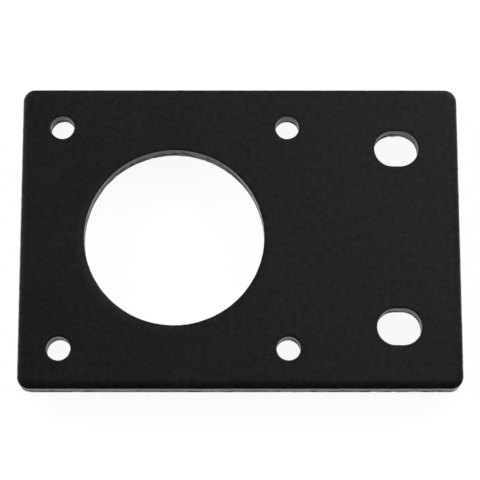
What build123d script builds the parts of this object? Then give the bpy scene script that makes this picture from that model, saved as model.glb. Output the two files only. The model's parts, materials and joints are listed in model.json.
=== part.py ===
from build123d import *
from math import atan2, degrees
import os

# Flat mounting plate for a small stepper motor: one piece, blanked and pierced from sheet, then
# coated black. The origin is the motor's axis on the lower face. +X runs along the plate from the
# motor to the frame slots and +Z points up through the sheet. All sizes are in millimetres.

# Sheet
sheet_thickness = 3.0
corner_radius = 1.7

# Motor flange: a round boss inside a square of four screws
boss_diameter = 22.0
boss_clearance = 1.25  # all round the boss
motor_screw_diameter = 3.0
motor_screw_clearance = 0.1  # all round each screw
motor_screw_pitch = 31.0
motor_screw_margin = 5.5  # from a screw's axis to the plate's end and sides

# Slots for the frame screws, longer along the plate so that the motor can be shifted
frame_screw_diameter = 4.0
frame_screw_clearance = 0.5  # to each side of a screw
slot_travel = 1.0
slot_spacing = 25.0
slot_offset = 30.5  # from the motor's axis to the line through both slots
slot_end_margin = 8.5  # from that line to the plate's end

# Sheared edges. Punch and die bit in from the upper face, so each edge, from the top down, is
# rolled over, then burnished square to the face, then torn away on a slant.
outline_roll_width = 1.3
outline_roll_depth = 0.18
motor_opening_roll_width = 0.9
motor_opening_roll_depth = 0.08
small_opening_roll_width = 0.4
small_opening_roll_depth = 0.04
fracture_share = 0.5  # of the sheet's thickness, from the lower face up
fracture_setback = 0.08  # how far the lower edge stands back from the burnished wall

opening_radius = boss_diameter / 2 + boss_clearance
motor_hole_radius = motor_screw_diameter / 2 + motor_screw_clearance
slot_width = frame_screw_diameter + 2 * frame_screw_clearance
slot_length = slot_width + slot_travel
motor_end = -motor_screw_pitch / 2 - motor_screw_margin
slot_end = slot_offset + slot_end_margin
plate_length = slot_end - motor_end
plate_width = motor_screw_pitch + 2 * motor_screw_margin
fracture_height = sheet_thickness * fracture_share
fracture_slant = degrees(atan2(fracture_setback, fracture_height))


def roll_over(edge_loop, width, depth):
    """Turn the upper face down along one closed edge, in an arc that leaves the face smoothly."""
    travel = edge_loop % 0
    into_metal = Vector(0, 0, 1).cross(travel)
    with BuildSketch(Plane(origin=edge_loop @ 0, x_dir=into_metal, z_dir=travel)) as corner_waste:
        with BuildLine():
            roll = TangentArc((width, 0), (0, -depth), tangent=(-1, 0))
            Polyline(roll @ 1, (0, 0), roll @ 0)
        make_face()
    sweep(corner_waste.sketch, path=edge_loop, mode=Mode.SUBTRACT)


with BuildPart() as mounting_plate:
    # The plan, at the level where burnish turns into fracture
    with BuildSketch(Plane.XY.offset(fracture_height)) as plan:
        with Locations(((motor_end + slot_end) / 2, 0)):
            RectangleRounded(plate_length, plate_width, corner_radius)
        Circle(opening_radius, mode=Mode.SUBTRACT)
        with GridLocations(motor_screw_pitch, motor_screw_pitch, 2, 2):
            Circle(motor_hole_radius, mode=Mode.SUBTRACT)
        with Locations((slot_offset, slot_spacing / 2), (slot_offset, -slot_spacing / 2)):
            SlotOverall(slot_length, slot_width, mode=Mode.SUBTRACT)

    # Burnished walls, square to the face
    extrude(amount=sheet_thickness - fracture_height)

    # Fracture: towards the lower face the outline draws in and every opening widens
    extrude(plan.sketch, amount=-fracture_height, taper=fracture_slant)

    # Roll-over, slight round the small openings, shallow round the motor's, broad round the outline
    upper_face = faces().sort_by(Axis.Z)[-1]
    *small_openings, motor_opening = upper_face.inner_wires().sort_by(SortBy.LENGTH)
    for opening in small_openings:
        roll_over(opening, small_opening_roll_width, small_opening_roll_depth)
    roll_over(motor_opening, motor_opening_roll_width, motor_opening_roll_depth)
    roll_over(upper_face.outer_wire(), outline_roll_width, outline_roll_depth)

mounting_plate.part.label = "mounting_plate"

os.makedirs("parts", exist_ok=True)
export_step(mounting_plate.part, "parts/mounting_plate.step")
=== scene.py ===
import json
import math

import bmesh
import bpy
from mathutils import Euler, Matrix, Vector


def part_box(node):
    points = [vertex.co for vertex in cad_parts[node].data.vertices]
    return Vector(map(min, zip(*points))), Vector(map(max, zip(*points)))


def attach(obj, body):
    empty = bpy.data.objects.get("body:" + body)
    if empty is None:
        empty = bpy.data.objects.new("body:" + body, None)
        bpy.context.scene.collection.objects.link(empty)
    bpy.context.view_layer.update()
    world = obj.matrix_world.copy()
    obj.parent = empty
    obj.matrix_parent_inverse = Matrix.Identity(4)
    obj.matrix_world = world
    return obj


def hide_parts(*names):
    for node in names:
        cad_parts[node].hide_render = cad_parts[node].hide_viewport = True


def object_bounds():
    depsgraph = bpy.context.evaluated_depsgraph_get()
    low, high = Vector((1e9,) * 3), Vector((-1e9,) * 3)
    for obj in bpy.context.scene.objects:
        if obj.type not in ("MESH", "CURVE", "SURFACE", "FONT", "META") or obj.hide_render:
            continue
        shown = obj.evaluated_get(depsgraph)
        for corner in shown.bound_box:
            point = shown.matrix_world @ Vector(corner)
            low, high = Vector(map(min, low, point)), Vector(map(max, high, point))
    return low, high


# A flat mounting plate for a small stepper motor, blanked from sheet and anodised black. The packed
# CAD model gives the plate's outside, its openings and their places. This script adds what a press
# and a finishing tank leave on it: edges that are rolled over, burnished and torn, and the coat.

bl_info = {
    "name": "Motor Mounting Plate",
    "version": (1, 0, 0),
    "blender": (4, 5, 0),
    "location": "View3D > Sidebar > Motor Plate",
    "description": "Blanked sheet plate for a stepper motor, with sheared edges and a black coat",
    "category": "Object",
}

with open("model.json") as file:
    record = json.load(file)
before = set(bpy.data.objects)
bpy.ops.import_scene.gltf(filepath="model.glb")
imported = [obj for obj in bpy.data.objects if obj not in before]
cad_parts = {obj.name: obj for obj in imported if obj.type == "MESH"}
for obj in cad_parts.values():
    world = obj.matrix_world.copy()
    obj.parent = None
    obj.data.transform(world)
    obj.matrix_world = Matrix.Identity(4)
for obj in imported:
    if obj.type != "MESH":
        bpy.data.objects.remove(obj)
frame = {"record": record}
CAD_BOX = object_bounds()

MM = 0.001
NODE = "mounting_plate"
MOUNTS = {mount["name"]: mount for mount in frame["record"]["mounts"]}


def linear(code):
    """The linear colour of an sRGB hex code such as #1A2B3C."""
    shares = [int(code[i : i + 2], 16) / 255 for i in (1, 3, 5)]
    return tuple(s / 12.92 if s <= 0.04045 else ((s + 0.055) / 1.055) ** 2.4 for s in shares)


def add(tree, kind, inputs=(), **settings):
    """Adds a node with its settings. Inputs, by name or number, are values, sockets or nodes."""
    node = tree.nodes.new(kind)
    for name, value in settings.items():
        setattr(node, name, value)
    for key, value in dict(inputs).items():
        if isinstance(value, bpy.types.Node):
            value = next(socket for socket in value.outputs if socket.enabled)
        if isinstance(value, bpy.types.NodeSocket):
            tree.links.new(value, node.inputs[key])
        else:
            node.inputs[key].default_value = value
    return node


# ---------------------------------------------------------------------------- sizes and colours


def length(name, description, millimetres):
    """A size in metres, given in millimetres."""
    return bpy.props.FloatProperty(
        name=name, description=description, default=millimetres * MM, min=0, precision=6, unit="LENGTH"
    )


def share(name, description, value):
    """A number from 0 to 1."""
    return bpy.props.FloatProperty(
        name=name, description=description, default=value, min=0, max=1, subtype="FACTOR"
    )


def colour(name, description, code):
    """A colour, given as an sRGB hex code."""
    return bpy.props.FloatVectorProperty(
        name=name, description=description, default=linear(code), size=3, min=0, max=1, subtype="COLOR"
    )


class PlateCut(bpy.types.PropertyGroup):
    """What blanking and piercing leave on the plate's edges"""

    corner_radius: length("Corner Radius", "Radius of the plate's four corners", 1.7)
    outline_roll_width: length("Outline Roll Width", "How far in the outline's edge is rolled over", 1.3)
    outline_roll_depth: length("Outline Roll Depth", "How far down the outline's edge is rolled", 0.18)
    boss_roll_width: length("Boss Roll Width", "Width of the motor opening's rolled edge", 0.9)
    boss_roll_depth: length("Boss Roll Depth", "Depth of the motor opening's rolled edge", 0.08)
    hole_roll_width: length("Hole Roll Width", "Width of the small openings' rolled edges", 0.4)
    hole_roll_depth: length("Hole Roll Depth", "Depth of the small openings' rolled edges", 0.04)
    punch_shift: bpy.props.FloatVectorProperty(
        name="Punch Shift",
        description="How much more the motor opening is rolled and slanted to one side, as a share",
        default=(-0.4, -0.4, 0.0),
        size=3,
    )
    edge_round: share("Edge Round", "Radius where the roll meets the wall, as a share of its depth", 0.8)
    outline_tear: length("Outline Tear", "Height of the torn part of the outline's wall", 1.6)
    boss_tear: length("Boss Tear", "Height of the torn part of the motor opening's wall", 1.9)
    hole_tear: length("Hole Tear", "Height of the torn part of the small openings' walls", 1.6)
    outline_setback: length("Outline Setback", "How far the outline's lower edge stands back", 0.02)
    boss_setback: length("Boss Setback", "How far the motor opening's lower edge stands back", 0.04)
    hole_setback: length("Hole Setback", "How far the small openings' lower edges stand back", 0.05)
    line_wander: length("Line Wander", "How far the line between burnish and tear strays", 0.7)
    wander_length: length("Wander Length", "Length of one stray of that line", 2.5)
    tear_depth: length("Tear Depth", "Depth of the pits in the torn metal", 0.22)
    tear_grain: length("Tear Grain", "Width of those pits along the edge", 1.5)
    wobble: length("Edge Wobble", "How far the cut line itself strays inwards", 0.045)
    wobble_length: length("Wobble Length", "Length of one such stray", 1.6)
    lower_round: length("Lower Round", "Radius that deburring leaves on the lower edge", 0.04)
    spacing: length("Point Spacing", "Distance between the mesh's points along an edge", 0.16)
    seed: bpy.props.IntProperty(name="Seed", description="Chooses the torn metal's pattern", default=4)


class PlateFinish(bpy.types.PropertyGroup):
    """The colours and the gloss of the coat"""

    coat_colour: colour("Coat", "The black of the dyed coat", "#040404")
    thin_colour: colour("Thin Coat", "The coat where it has taken less dye", "#080808")
    face_roughness: share("Face Roughness", "Roughness of the etched face", 0.36)
    burnish_roughness: share("Burnish Roughness", "Roughness of the burnished wall", 0.17)
    tear_roughness: share("Tear Roughness", "Roughness of the torn wall", 0.35)


class PlateStudio(bpy.types.PropertyGroup):
    """The floor, the light and the camera"""

    floor_colour: colour("Floor", "The pale floor's own colour", "#BCBCBC")
    faint_colour: colour("Faint Shadow", "How strongly the camera sees shadows on the floor", "#656565")
    floor_white: share("Floor White", "How white the camera sees the floor in full shadow", 0.93)
    floor_radius: bpy.props.FloatProperty(
        name="Floor Radius", description="From the plate to the upturned rim", default=1.5, unit="LENGTH"
    )
    sky_level: share("Sky Level", "Brightness of the room beyond the lamps", 0.02)
    distance: bpy.props.FloatProperty(
        name="Camera Distance", description="From the plate's middle", default=0.29335, unit="LENGTH"
    )
    elevation: bpy.props.FloatProperty(
        name="Camera Elevation",
        description="Height of the camera above the horizon",
        default=math.radians(76.1),
        subtype="ANGLE",
    )
    azimuth: bpy.props.FloatProperty(
        name="Camera Azimuth",
        description="Turn of the camera round the plate, towards its left",
        default=math.radians(1.22),
        subtype="ANGLE",
    )
    roll: bpy.props.FloatProperty(
        name="Camera Roll", description="Tilt of the picture", default=math.radians(1.2), subtype="ANGLE"
    )
    lens: bpy.props.FloatProperty(
        name="Lens", description="Focal length in millimetres", default=160.68, subtype="DISTANCE_CAMERA"
    )
    aim: bpy.props.FloatVectorProperty(
        name="Aim",
        description="Where the camera looks, from the plate's middle",
        default=(-0.023 * MM, -0.106 * MM, 0.0),
        size=3,
        precision=6,
        subtype="TRANSLATION",
    )


# ------------------------------------------------------------------------------------- finishes

CLOUD_SIZE = 6 * MM  # patches where the dye took a little differently
CLOUD_DETAIL = 2  # how many finer sizes of patch each one carries
GRAIN_DETAIL = 4  # and each grain
GRAIN_ROUGHNESS = 0.75  # how strong the finer sizes are beside the grain
DEEP_GRAIN, TOP_GRAIN = 0.35, 0.65  # levels of the noise at the grain's bottom and top
MOTTLE_SPAN = 0.5  # twice what grain times patches usually comes to


def coat(name, finish, grain, roughness, spread, bump_depth, shine, stretch=(1, 1, 1)):
    """Black anodised aluminium whose tint, gloss and relief follow one grain, sized in metres.
    Spread is the share by which the roughness strays. Shine gives how strongly it reflects deep
    down in the grain and on top of it. Stretch is how many times closer the grain lies along
    each axis."""
    material = bpy.data.materials.new(name)
    material.use_nodes = True
    tree = material.node_tree
    surface = tree.nodes["Principled BSDF"]
    place = add(tree, "ShaderNodeTexCoord").outputs["Object"]
    drawn = add(tree, "ShaderNodeMapping", {"Vector": place, "Scale": stretch})
    fine = add(
        tree,
        "ShaderNodeTexNoise",
        {"Vector": drawn, "Scale": 1 / grain, "Detail": GRAIN_DETAIL, "Roughness": GRAIN_ROUGHNESS},
    )
    broad = add(
        tree, "ShaderNodeTexNoise", {"Vector": place, "Scale": 1 / CLOUD_SIZE, "Detail": CLOUD_DETAIL}
    )
    mottle = add(
        tree, "ShaderNodeMath", {0: fine.outputs["Fac"], 1: broad.outputs["Fac"]}, operation="MULTIPLY"
    )
    tint = add(
        tree,
        "ShaderNodeMix",
        {"Factor": mottle, "A": (*finish.coat_colour, 1), "B": (*finish.thin_colour, 1)},
        data_type="RGBA",
    )
    low, high = roughness * (1 - spread), roughness * (1 + spread)
    gloss = add(
        tree,
        "ShaderNodeMapRange",
        {"Value": mottle, "From Max": MOTTLE_SPAN, "To Min": low, "To Max": high},
    )
    deep, top = shine
    sheen = add(
        tree,
        "ShaderNodeMapRange",
        {
            "Value": fine.outputs["Fac"],
            "From Min": DEEP_GRAIN,
            "From Max": TOP_GRAIN,
            "To Min": deep,
            "To Max": top,
        },
    )
    relief = add(
        tree, "ShaderNodeBump", {"Height": fine.outputs["Fac"], "Strength": 1, "Distance": bump_depth}
    )
    tree.links.new(tint.outputs[2], surface.inputs["Base Color"])
    tree.links.new(gloss.outputs["Result"], surface.inputs["Roughness"])
    tree.links.new(sheen.outputs["Result"], surface.inputs["Specular IOR Level"])
    tree.links.new(relief.outputs["Normal"], surface.inputs["Normal"])
    return material


def coats(finish):
    """The three finishes that the coat takes on, each named for the metal under it."""
    return {
        # Rolled sheet, etched matte before anodising: a broad soft shine with a faint mottle. The real
        # etch is about 0.03 mm across and is drawn 25 times coarser, so that it shows at arm's length.
        "Face": coat(
            "anodised_etched_face",
            finish,
            grain=0.75 * MM,
            roughness=finish.face_roughness,
            spread=0.12,
            bump_depth=0.007 * MM,
            shine=(0.4, 0.6),
        ),
        # Wiped smooth by punch and die: a silkier shine, with drag lines down the wall. They are
        # drawn 0.12 mm apart, a few times coarser than the real ones.
        "Burnish": coat(
            "anodised_burnished_wall",
            finish,
            grain=0.12 * MM,
            roughness=finish.burnish_roughness,
            spread=0.12,
            bump_depth=0.008 * MM,
            shine=(0.4, 0.54),
            stretch=(1, 1, 0.05),
        ),
        # Torn through, so dull and uneven, with flakes about as broad as a third of the wall.
        "Tear": coat(
            "anodised_torn_wall",
            finish,
            grain=0.9 * MM,
            roughness=finish.tear_roughness,
            spread=0.5,
            bump_depth=0.08 * MM,
            shine=(0.5, 0.9),
            stretch=(1, 1, 3),
        ),
    }


# ---------------------------------------------------------------------------------- sheared edge

# Rows of the wall's mesh, from the upper face down and round to the lower face
ROWS = {"lead-in": 1, "roll": 6, "shoulder": 4, "land": 3, "tear": 16, "lower": 3, "lead-out": 1}
LAST_ROW = sum(ROWS.values())
LEAD = 0.04 * MM  # a strip of flat face beside each edge, so that the face shades flat
QUARTER_TURN = math.pi / 2
ARC_POINTS = 32  # on each rounded corner of the plan
ROUND_POINTS = 512  # on each circle of the plan
WELD = 0.001 * MM  # points nearer than this are one
PIT_SPAN = (0.05, 0.7, 1.1)  # shares of the way down the tear where pits are deep, thin out, end
PIT_FLATNESS = 3.5  # how many times longer a pit is than it is tall

# Noises that vary the wall: the input that sizes each, how many finer sizes it carries, and the
# levels of it that are drawn out to other ones
NOISES = {
    "wander": {"size": "Wander Length", "detail": 5, "from": (0.25, 0.75), "to": (-1, 1)},
    "wobble": {"size": "Wobble Length", "detail": 2, "from": (0.25, 0.75), "to": (0, 1)},
    "pits": {"size": "Tear Grain", "detail": 3, "from": (0.56, 0.58), "to": (0, 1)},
}
NOISE_ROUGHNESS = 0.65  # how strong the finer sizes are

# The wall's section at each point: how far it lies in from the cut line, and how far it has
# dropped from the upper face. Each line gives a result, a sum and what goes into it.
SECTION = (
    ("slope", "DIVIDE", "roll depth", "roll width"),
    ("half turn", "ARCTANGENT", "slope"),
    ("turn", "MULTIPLY", "half turn", 2),
    ("sine", "SINE", "turn"),
    ("cosine", "COSINE", "turn"),
    ("round", "MULTIPLY", "roll depth", "Edge Round"),
    # the roll, an arc that leaves the face smoothly
    ("sine left", "SUBTRACT", 1, "sine"),
    ("arc end", "MULTIPLY", "round", "sine left"),
    ("arc span", "SUBTRACT", "roll width", "arc end"),
    ("arc radius", "DIVIDE", "arc span", "sine"),
    ("arc angle", "MULTIPLY", "turn", "along roll"),
    ("arc sine", "SINE", "arc angle"),
    ("arc cosine", "COSINE", "arc angle"),
    ("arc reach", "MULTIPLY", "arc radius", "arc sine"),
    ("arc lift", "MULTIPLY", "arc radius", "arc cosine"),
    ("in 1", "SUBTRACT", "roll width", "arc reach"),
    ("drop 1", "SUBTRACT", "arc radius", "arc lift"),
    # the shoulder, a tight arc from there to the upright wall
    ("rest of turn", "SUBTRACT", QUARTER_TURN, "turn"),
    ("shoulder angle", "MULTIPLY_ADD", "rest of turn", "along shoulder", "turn"),
    ("shoulder sine", "SINE", "shoulder angle"),
    ("shoulder cosine", "COSINE", "shoulder angle"),
    ("shoulder reach", "SUBTRACT", "sine", "shoulder sine"),
    ("shoulder fall", "SUBTRACT", "cosine", "shoulder cosine"),
    ("in 2", "MULTIPLY_ADD", "round", "shoulder reach", "in 1"),
    ("drop 2", "MULTIPLY_ADD", "round", "shoulder fall", "drop 1"),
    # the burnished land, straight down to the line where the metal tore
    ("line stray", "MULTIPLY", "Line Wander", "wander"),
    ("tear top", "ADD", "tear", "line stray"),
    ("arc fall", "MULTIPLY", "arc radius", "cosine"),
    ("arc drop", "SUBTRACT", "arc radius", "arc fall"),
    ("land top", "MULTIPLY_ADD", "round", "cosine", "arc drop"),
    ("wall left", "SUBTRACT", "Thickness", "land top"),
    ("land height", "SUBTRACT", "wall left", "tear top"),
    ("drop 3", "MULTIPLY_ADD", "land height", "along land", "drop 2"),
    # the torn zone, slanted and pitted
    ("tear height", "SUBTRACT", "tear top", "Lower Round"),
    ("drop 4", "MULTIPLY_ADD", "tear height", "along tear", "drop 3"),
    ("in 3", "MULTIPLY_ADD", "setback", "along tear", "in 2"),
    ("pit reach", "MULTIPLY", "pit rise", "pit fall"),
    ("pit", "MULTIPLY", "pits", "pit reach"),
    ("in 4", "MULTIPLY_ADD", "Tear Depth", "pit", "in 3"),
    # the lower edge, rounded by deburring
    ("lower angle", "MULTIPLY", "along lower", QUARTER_TURN),
    ("lower sine", "SINE", "lower angle"),
    ("lower cosine", "COSINE", "lower angle"),
    ("lower reach", "SUBTRACT", 1, "lower cosine"),
    ("in 5", "MULTIPLY_ADD", "Lower Round", "lower reach", "in 4"),
    ("drop 5", "MULTIPLY_ADD", "Lower Round", "lower sine", "drop 4"),
    # the flat strips at both ends, and the stray of the cut line itself
    ("leads", "SUBTRACT", "along lead-out", "along lead-in"),
    ("lead share", "ADD", "leads", 1),
    ("in 6", "MULTIPLY_ADD", "lead share", LEAD, "in 5"),
    ("stray", "MULTIPLY", "Edge Wobble", "wobble"),
    ("in", "MULTIPLY_ADD", "stray", "along roll", "in 6"),
    ("height", "SUBTRACT", "Thickness", "drop 5"),
)


def outline_line(tree, given):
    """The plate's outline, with rounded corners."""
    sheet = add(
        tree,
        "GeometryNodeCurvePrimitiveQuadrilateral",
        {"Width": given["Length"], "Height": given["Width"]},
    )
    rounded = add(
        tree,
        "GeometryNodeFilletCurve",
        {"Curve": sheet, "Count": ARC_POINTS, "Radius": given["Corner Radius"]},
        mode="POLY",
    )
    return add(tree, "GeometryNodeTransform", {"Geometry": rounded, "Translation": given["Centre"]})


def motor_line(tree, given):
    """The round opening for the motor's boss."""
    return add(
        tree,
        "GeometryNodeCurvePrimitiveCircle",
        {"Resolution": ROUND_POINTS, "Radius": given["Opening Radius"]},
    )


def small_lines(tree, given):
    """The four screw holes and the two frame slots."""
    screw = add(
        tree,
        "GeometryNodeCurvePrimitiveCircle",
        {"Resolution": ROUND_POINTS, "Radius": given["Screw Radius"]},
    )
    square = add(
        tree,
        "GeometryNodeMeshGrid",
        {"Size X": given["Screw Pitch"], "Size Y": given["Screw Pitch"], "Vertices X": 2, "Vertices Y": 2},
    )
    screws = add(tree, "GeometryNodeInstanceOnPoints", {"Points": square, "Instance": screw})
    slot_box = add(
        tree,
        "GeometryNodeCurvePrimitiveQuadrilateral",
        {"Width": given["Slot Length"], "Height": given["Slot Width"]},
    )
    slot_end = add(tree, "ShaderNodeMath", {0: given["Slot Width"], 1: 2}, operation="DIVIDE")
    slot = add(
        tree,
        "GeometryNodeFilletCurve",
        {"Curve": slot_box, "Count": ARC_POINTS, "Radius": slot_end},
        mode="POLY",
    )
    slot_pair = add(
        tree,
        "GeometryNodeMeshLine",
        {"Count": 2, "Start Location": given["First Slot"], "Offset": given["Slot Step"]},
    )
    slots = add(tree, "GeometryNodeInstanceOnPoints", {"Points": slot_pair, "Instance": slot})
    small = add(tree, "GeometryNodeJoinGeometry", {"Geometry": screws})
    tree.links.new(slots.outputs[0], small.inputs[0])
    return add(tree, "GeometryNodeRealizeInstances", {"Geometry": small})


def cut_lines(tree, given):
    """Every closed line of the plan, carrying the sizes of its own sheared edge."""
    # The punch for the motor opening stood a little to one side, which widens the roll there and
    # slants the tear
    outward = add(
        tree, "ShaderNodeVectorMath", {0: add(tree, "GeometryNodeInputPosition")}, operation="NORMALIZE"
    )
    shift = add(
        tree, "ShaderNodeVectorMath", {0: outward, 1: given["Punch Shift"]}, operation="DOT_PRODUCT"
    ).outputs["Value"]
    uneven = add(tree, "ShaderNodeMath", {0: shift, 1: 1}, operation="ADD")

    # Side is 1 where the metal lies inside the line and -1 where it lies outside
    lines = add(tree, "GeometryNodeJoinGeometry")
    for line, side, cut, spread in (
        (outline_line(tree, given), 1, "Outline", 1),
        (motor_line(tree, given), -1, "Boss", uneven),
        (small_lines(tree, given), -1, "Hole", 1),
    ):
        line = add(
            tree, "GeometryNodeResampleCurve", {"Curve": line, "Length": given["Spacing"]}, mode="LENGTH"
        )
        width, depth, setback = (
            add(tree, "ShaderNodeMath", {0: given[f"{cut} {size}"], 1: spread}, operation="MULTIPLY")
            for size in ("Roll Width", "Roll Depth", "Setback")
        )
        for fact, value in (
            ("edge side", side),
            ("edge roll width", width),
            ("edge roll depth", depth),
            ("edge setback", setback),
            ("edge tear", given[f"{cut} Tear"]),
        ):
            line = add(
                tree, "GeometryNodeStoreNamedAttribute", {"Geometry": line, "Name": fact, "Value": value}
            )
        tree.links.new(line.outputs[0], lines.inputs[0])
    return lines


def kept_places(tree, lines):
    """The lines, with each point's place, and the way into the metal from it, kept for its wall."""
    travel = add(tree, "GeometryNodeInputTangent")
    across = add(tree, "ShaderNodeVectorMath", {0: (0, 0, 1), 1: travel}, operation="CROSS_PRODUCT")
    side = add(tree, "GeometryNodeInputNamedAttribute", {"Name": "edge side"})
    into_metal = add(tree, "ShaderNodeVectorMath", {0: across, "Scale": side}, operation="SCALE")
    kept = add(tree, "GeometryNodeCaptureAttribute", {"Geometry": lines})
    for name, value in (("Place", add(tree, "GeometryNodeInputPosition")), ("Into Metal", into_metal)):
        kept.capture_items.new("VECTOR", name)
        tree.links.new(value.outputs[0], kept.inputs[name])
    return kept.outputs


def ribbons(tree, lines):
    """A plain ribbon of rows along every line, and the number of each point's row."""
    row_line = add(tree, "GeometryNodeCurvePrimitiveLine", {"End": (1, 0, 0)})
    rows = add(
        tree, "GeometryNodeResampleCurve", {"Curve": row_line, "Count": LAST_ROW + 1}, mode="COUNT"
    )
    numbered = add(tree, "GeometryNodeCaptureAttribute", {"Geometry": rows})
    numbered.capture_items.new("FLOAT", "Row")
    tree.links.new(add(tree, "GeometryNodeInputIndex").outputs[0], numbered.inputs["Row"])
    ribbon = add(
        tree,
        "GeometryNodeCurveToMesh",
        {"Curve": lines, "Profile Curve": numbered.outputs["Geometry"]},
    )
    return ribbon, numbered.outputs["Row"]


def first_row(stretch):
    """The number of the row where a stretch of the wall starts."""
    names = list(ROWS)
    return sum(ROWS[name] for name in names[: names.index(stretch)])


def section(tree, given, place, row):
    """Works out SECTION at each point, and gives how far in the point lies and at what height."""
    known = {socket.name: socket for socket in given if socket.name}
    for fact in ("roll width", "roll depth", "setback", "tear"):
        known[fact] = add(tree, "GeometryNodeInputNamedAttribute", {"Name": "edge " + fact})

    # How far each point lies along each stretch of rows, from 0 to 1
    for stretch, count in ROWS.items():
        start = first_row(stretch)
        known["along " + stretch] = add(
            tree, "ShaderNodeMapRange", {"Value": row, "From Min": start, "From Max": start + count}
        )
    deep, thinning, gone = PIT_SPAN
    for name, nothing, full in (("pit rise", 0, deep), ("pit fall", gone, thinning)):
        known[name] = add(
            tree,
            "ShaderNodeMapRange",
            {"Value": known["along tear"], "From Min": nothing, "From Max": full},
        )

    # The pits also change down the wall, and the other noises only along it
    down_wall = add(
        tree, "ShaderNodeMath", {0: known["along tear"], 1: known["tear"]}, operation="MULTIPLY"
    )
    deeper = add(
        tree, "ShaderNodeVectorMath", {0: (0, 0, PIT_FLATNESS), "Scale": down_wall}, operation="SCALE"
    )
    deep_place = add(tree, "ShaderNodeVectorMath", {0: place, 1: deeper}, operation="ADD")
    for name, kind in NOISES.items():
        where = deep_place if name == "pits" else place
        scale = add(tree, "ShaderNodeMath", {0: 1, 1: given[kind["size"]]}, operation="DIVIDE")
        noise = add(
            tree,
            "ShaderNodeTexNoise",
            {
                "Vector": where,
                "W": given["Seed"],
                "Scale": scale,
                "Detail": kind["detail"],
                "Roughness": NOISE_ROUGHNESS,
            },
            noise_dimensions="4D",
        )
        start, end = kind["from"]
        low, high = kind["to"]
        known[name] = add(
            tree,
            "ShaderNodeMapRange",
            {"Value": noise, "From Min": start, "From Max": end, "To Min": low, "To Max": high},
        )

    for name, operation, *operands in SECTION:
        values = {i: known.get(o, o) if isinstance(o, str) else o for i, o in enumerate(operands)}
        known[name] = add(tree, "ShaderNodeMath", values, operation=operation)
    return known["in"], known["height"]


def bent(tree, ribbon, kept, inset, height):
    """The ribbons, with every point set in from its place and lifted to its height."""
    inwards = add(
        tree, "ShaderNodeVectorMath", {0: kept["Into Metal"], "Scale": inset}, operation="SCALE"
    )
    on_plan = add(tree, "ShaderNodeVectorMath", {0: kept["Place"], 1: inwards}, operation="ADD")
    lift = add(tree, "ShaderNodeCombineXYZ", {"Z": height})
    on_wall = add(tree, "ShaderNodeVectorMath", {0: on_plan, 1: lift}, operation="ADD")
    return add(tree, "GeometryNodeSetPosition", {"Geometry": ribbon, "Position": on_wall})


def closed(tree, given, walls, row):
    """The walls with both flat faces, each filled between the walls' open ends."""
    plate = add(tree, "GeometryNodeJoinGeometry", {"Geometry": walls})
    neighbours = add(tree, "GeometryNodeInputMeshEdgeNeighbors")
    open_end = add(
        tree, "FunctionNodeCompare", {2: neighbours, 3: 1}, data_type="INT", operation="EQUAL"
    )
    for operation, height in (("GREATER_THAN", 0), ("LESS_THAN", given["Thickness"])):
        this_end = add(tree, "FunctionNodeCompare", {0: row, 1: LAST_ROW / 2}, operation=operation)
        rim = add(tree, "FunctionNodeBooleanMath", {0: open_end, 1: this_end})
        loops = add(tree, "GeometryNodeMeshToCurve", {"Mesh": walls, "Selection": rim})
        face = add(tree, "GeometryNodeFillCurve", {"Curve": loops}, mode="TRIANGLES")
        level = add(tree, "ShaderNodeCombineXYZ", {"Z": height})
        face = add(tree, "GeometryNodeTransform", {"Geometry": face, "Translation": level})
        tree.links.new(face.outputs[0], plate.inputs[0])
    return add(tree, "GeometryNodeMergeByDistance", {"Geometry": plate, "Distance": WELD})


# The socket that each kind of value needs as an input of a tree
SOCKETS = {
    float: "NodeSocketFloat",
    int: "NodeSocketInt",
    tuple: "NodeSocketVector",
    bpy.types.Material: "NodeSocketMaterial",
}


def plate_tree(inputs):
    """The Geometry Nodes tree that cuts the plate, with the edge of a press on every outline."""
    tree = bpy.data.node_groups.new("blanked_plate", "GeometryNodeTree")
    tree.interface.new_socket("Geometry", in_out="OUTPUT", socket_type="NodeSocketGeometry")
    for name, value in inputs.items():
        tree.interface.new_socket(name, in_out="INPUT", socket_type=SOCKETS[type(value)])
    given = add(tree, "NodeGroupInput").outputs

    kept = kept_places(tree, cut_lines(tree, given))
    ribbon, row = ribbons(tree, kept["Geometry"])
    inset, height = section(tree, given, kept["Place"], row)
    plate = closed(tree, given, bent(tree, ribbon, kept, inset, height), row)
    plate = add(tree, "GeometryNodeSetShadeSmooth", {"Geometry": plate})
    plate = add(
        tree, "GeometryNodeRemoveAttribute", {"Geometry": plate, "Name": "edge *"}, pattern_mode="WILDCARD"
    )
    plate = add(tree, "GeometryNodeRealizeInstances", {"Geometry": plate})
    plate = add(tree, "GeometryNodeSetMaterial", {"Geometry": plate, "Material": given["Face"]})
    for name, stretch in (("Burnish", "land"), ("Tear", "tear")):
        below = add(tree, "FunctionNodeCompare", {0: row, 1: first_row(stretch)}, operation="GREATER_THAN")
        plate = add(
            tree,
            "GeometryNodeSetMaterial",
            {"Geometry": plate, "Selection": below, "Material": given[name]},
        )
    add(tree, "NodeGroupOutput", {"Geometry": plate})
    return tree


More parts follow.
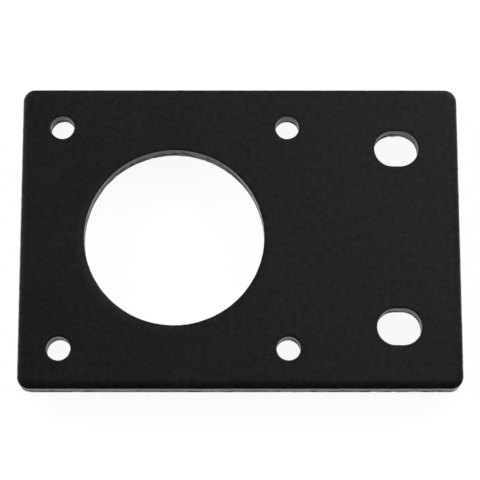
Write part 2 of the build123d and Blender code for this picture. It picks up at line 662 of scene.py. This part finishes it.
def plate_sizes(cut):
    """The tree's inputs: the CAD model's sizes, and those of the cut edges."""
    low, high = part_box(NODE)
    size = high - low
    opening = MOUNTS["motor_opening"]["dims"]
    screws = MOUNTS["motor_screws"]["dims"]
    slots = MOUNTS["frame_slots"]["dims"]
    slot_step = slots["spacing_y_mm"] * MM
    middle = MOUNTS["frame_slots"]["pos_m"]
    return {
        "Length": size.x,
        "Width": size.y,
        "Thickness": size.z,
        "Centre": ((low.x + high.x) / 2, (low.y + high.y) / 2, 0.0),
        "Corner Radius": cut.corner_radius,
        "Opening Radius": opening["r_mm"] * MM,
        "Screw Pitch": screws["spacing_x_mm"] * MM,
        "Screw Radius": screws["hole_r_mm"] * MM,
        "Slot Length": slots["slot_length_mm"] * MM,
        "Slot Width": 2 * slots["hole_r_mm"] * MM,
        "First Slot": (middle[0], middle[1] - slot_step / 2, 0.0),
        "Slot Step": (0.0, slot_step, 0.0),
        "Outline Roll Width": cut.outline_roll_width,
        "Outline Roll Depth": cut.outline_roll_depth,
        "Boss Roll Width": cut.boss_roll_width,
        "Boss Roll Depth": cut.boss_roll_depth,
        "Hole Roll Width": cut.hole_roll_width,
        "Hole Roll Depth": cut.hole_roll_depth,
        "Punch Shift": tuple(cut.punch_shift),
        "Edge Round": cut.edge_round,
        "Outline Setback": cut.outline_setback,
        "Boss Setback": cut.boss_setback,
        "Hole Setback": cut.hole_setback,
        "Outline Tear": cut.outline_tear,
        "Boss Tear": cut.boss_tear,
        "Hole Tear": cut.hole_tear,
        "Line Wander": cut.line_wander,
        "Wander Length": cut.wander_length,
        "Tear Depth": cut.tear_depth,
        "Tear Grain": cut.tear_grain,
        "Edge Wobble": cut.wobble,
        "Wobble Length": cut.wobble_length,
        "Lower Round": cut.lower_round,
        "Spacing": cut.spacing,
        "Seed": cut.seed,
    }


def grown(name, tree, inputs):
    """The plain, closed mesh that a Geometry Nodes tree makes of these inputs, as an object."""
    piece = bpy.data.objects.new(name, bpy.data.meshes.new(name))
    bpy.context.scene.collection.objects.link(piece)
    modifier = piece.modifiers.new(name, "NODES")
    modifier.node_group = tree
    for socket in tree.interface.items_tree:
        if socket.in_out == "INPUT":
            modifier[socket.identifier] = inputs[socket.name]
    evaluated = piece.evaluated_get(bpy.context.evaluated_depsgraph_get())
    mesh = bpy.data.meshes.new_from_object(evaluated)
    piece.modifiers.clear()
    piece.data = mesh
    skin = bmesh.new()
    skin.from_mesh(mesh)
    bmesh.ops.recalc_face_normals(skin, faces=skin.faces)
    if not all(edge.is_manifold for edge in skin.edges):
        raise RuntimeError(f"{name} has open edges")
    skin.to_mesh(mesh)
    skin.free()
    return piece


class OBJECT_OT_blanked_plate(bpy.types.Operator):
    """Makes the mounting plate, cut from sheet and anodised"""

    bl_idname = "object.blanked_plate"
    bl_label = "Blanked Plate"

    def execute(self, context):
        scene = context.scene
        inputs = plate_sizes(scene.plate_cut) | coats(scene.plate_finish)
        plate = grown("anodised_plate", plate_tree(inputs), inputs)
        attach(plate, "root")
        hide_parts(NODE)
        return {"FINISHED"}


# ---------------------------------------------------------------------------------------- studio

# Flat lamps: middle and size in metres, from the plate's middle, and how bright each looks, where
# 1 is white. The dim ones overhead face down and stand a little behind the plate, so its front edge
# reflects the dark room. The bright ones stand low at both sides, turned to the plate, where only
# the rolled edges catch them, and one behind it gives its far right corner a light rim.
PANELS = {
    "overhead_left": {"at": (-0.273, 0.365, 0.8), "size": (0.378, 0.66), "level": 0.1, "turned": False},
    "overhead_middle": {"at": (0.0, 0.24, 0.8), "size": (0.168, 0.41), "level": 0.3, "turned": False},
    "overhead_right": {"at": (0.172, 0.365, 0.8), "size": (0.176, 0.66), "level": 0.81, "turned": False},
    "side_left": {"at": (-0.72, 0.33, 0.234), "size": (1.03, 0.3), "level": 11.6, "turned": True},
    "side_right": {"at": (0.72, 0.42, 0.234), "size": (1.25, 0.3), "level": 9.6, "turned": True},
    "back_right": {"at": (0.55, 0.7, 0.4), "size": (0.4, 0.3), "level": 4.0, "turned": True},
}
FLOOR_GAP = 0.005 * MM  # keeps the floor clear of the plate's lower face
RIM_RADIUS = 0.5  # of the turn from floor to backdrop
RIM_HEIGHT = 1.0  # of the backdrop's top
RIM_STEPS = 12
ROUND_STEPS = 64
CAMERA_CLIP = (0.01, 20.0)


def studio_floor(studio):
    """A round floor that turns up into a low backdrop all the way round."""
    flat = studio.floor_radius
    turn = [
        (flat + RIM_RADIUS * math.sin(angle), RIM_RADIUS * (1 - math.cos(angle)))
        for angle in (QUARTER_TURN * step / RIM_STEPS for step in range(RIM_STEPS + 1))
    ]
    profile = [*turn, (flat + RIM_RADIUS, RIM_HEIGHT)]
    skin = bmesh.new()
    rings = [
        [
            skin.verts.new((radius * math.cos(a), radius * math.sin(a), height - FLOOR_GAP))
            for a in (2 * math.pi * step / ROUND_STEPS for step in range(ROUND_STEPS))
        ]
        for radius, height in profile
    ]
    skin.faces.new(rings[0])
    for lower, upper in zip(rings, rings[1:]):
        for i in range(ROUND_STEPS):
            after = (i + 1) % ROUND_STEPS
            skin.faces.new((lower[i], upper[i], upper[after], lower[after]))
    for face in skin.faces:
        face.smooth = True
    mesh = bpy.data.meshes.new("studio_floor")
    skin.to_mesh(mesh)
    skin.free()
    floor = bpy.data.objects.new("studio_floor", mesh)
    bpy.context.scene.collection.objects.link(floor)
    floor.data.materials.append(paper(studio))


def paper(studio):
    """Matt white background paper, which stays nearly white in shadow to whoever looks at it."""
    material = bpy.data.materials.new("matt_background_paper")
    material.use_nodes = True
    tree = material.node_tree
    tree.nodes.clear()
    path = add(tree, "ShaderNodeLightPath").outputs
    seen = add(
        tree,
        "ShaderNodeMath",
        {0: path["Is Camera Ray"], 1: path["Is Transmission Ray"]},
        operation="MAXIMUM",
    )
    # To the coat, which mirrors it, the paper is white in the open and darker in the plate's shadow
    mirrored = add(
        tree,
        "ShaderNodeMath",
        {0: path["Is Glossy Ray"], 1: 1 - studio.floor_colour[0]},
        operation="MULTIPLY",
    )
    glow = add(
        tree, "ShaderNodeMath", {0: seen, 1: studio.floor_white, 2: mirrored}, operation="MULTIPLY_ADD"
    )
    white = add(tree, "ShaderNodeEmission", {"Color": (1, 1, 1, 1), "Strength": glow})
    tint = add(
        tree,
        "ShaderNodeMix",
        {"Factor": seen, "A": (*studio.floor_colour, 1), "B": (*studio.faint_colour, 1)},
        data_type="RGBA",
    )
    paper_shade = add(tree, "ShaderNodeBsdfDiffuse", {"Color": tint.outputs[2]})
    surface = add(tree, "ShaderNodeAddShader", {0: white, 1: paper_shade})
    add(tree, "ShaderNodeOutputMaterial", {"Surface": surface})
    return material


def studio_light(studio, middle):
    """The flat lamps, unseen by the camera, and a dim room beyond them."""
    for name, panel in PANELS.items():
        lamp = bpy.data.lights.new(name, "AREA")
        lamp.shape = "RECTANGLE"
        lamp.size, lamp.size_y = panel["size"]
        lamp.energy = panel["level"] * math.pi * lamp.size * lamp.size_y
        holder = bpy.data.objects.new(name, lamp)
        holder.location = middle + Vector(panel["at"])
        if panel["turned"]:
            holder.rotation_euler = Vector(panel["at"]).to_track_quat("Z", "Y").to_euler()
        holder.visible_camera = False
        bpy.context.scene.collection.objects.link(holder)
    world = bpy.data.worlds.new("dim_room")
    world.use_nodes = True
    sky = world.node_tree.nodes["Background"]
    sky.inputs["Color"].default_value = (1, 1, 1, 1)
    sky.inputs["Strength"].default_value = studio.sky_level
    bpy.context.scene.world = world


def studio_camera(studio, middle):
    """The camera, nearly overhead and aimed at the plate's middle."""
    lens = bpy.data.cameras.new("studio_camera")
    lens.lens = studio.lens
    lens.clip_start, lens.clip_end = CAMERA_CLIP
    camera = bpy.data.objects.new("studio_camera", lens)
    back = Vector((0, -math.cos(studio.elevation), math.sin(studio.elevation)))
    back.rotate(Euler((0, 0, -studio.azimuth)))
    camera.location = middle + studio.aim + back * studio.distance
    turned = back.to_track_quat("Z", "Y") @ Euler((0, 0, studio.roll)).to_quaternion()
    camera.rotation_euler = turned.to_euler()
    bpy.context.scene.collection.objects.link(camera)
    bpy.context.scene.camera = camera


class OBJECT_OT_plate_studio(bpy.types.Operator):
    """Makes the floor, the lamps and the camera"""

    bl_idname = "object.plate_studio"
    bl_label = "Plate Studio"

    def execute(self, context):
        studio = context.scene.plate_studio
        middle = (CAD_BOX[0] + CAD_BOX[1]) / 2
        studio_floor(studio)
        studio_light(studio, middle)
        studio_camera(studio, middle)
        context.scene.view_settings.view_transform = "Standard"
        return {"FINISHED"}


# ----------------------------------------------------------------------------------------- panel


class VIEW3D_PT_motor_plate(bpy.types.Panel):
    """Lists the plate's operators and their settings"""

    bl_label = "Motor Plate"
    bl_space_type = "VIEW_3D"
    bl_region_type = "UI"
    bl_category = "Motor Plate"

    def draw(self, context):
        for operator, settings in (
            ("object.blanked_plate", (context.scene.plate_cut, context.scene.plate_finish)),
            ("object.plate_studio", (context.scene.plate_studio,)),
        ):
            box = self.layout.box()
            box.operator(operator)
            for group in settings:
                for name in group.__annotations__:
                    box.prop(group, name)


CLASSES = (
    PlateCut,
    PlateFinish,
    PlateStudio,
    OBJECT_OT_blanked_plate,
    OBJECT_OT_plate_studio,
    VIEW3D_PT_motor_plate,
)


def register():
    for part in CLASSES:
        bpy.utils.register_class(part)
    bpy.types.Scene.plate_cut = bpy.props.PointerProperty(type=PlateCut)
    bpy.types.Scene.plate_finish = bpy.props.PointerProperty(type=PlateFinish)
    bpy.types.Scene.plate_studio = bpy.props.PointerProperty(type=PlateStudio)


def unregister():
    for name in ("plate_studio", "plate_finish", "plate_cut"):
        delattr(bpy.types.Scene, name)
    for part in reversed(CLASSES):
        bpy.utils.unregister_class(part)


def main():
    register()
    bpy.ops.object.blanked_plate()
    bpy.ops.object.plate_studio()


if __name__ == "__main__":
    main()
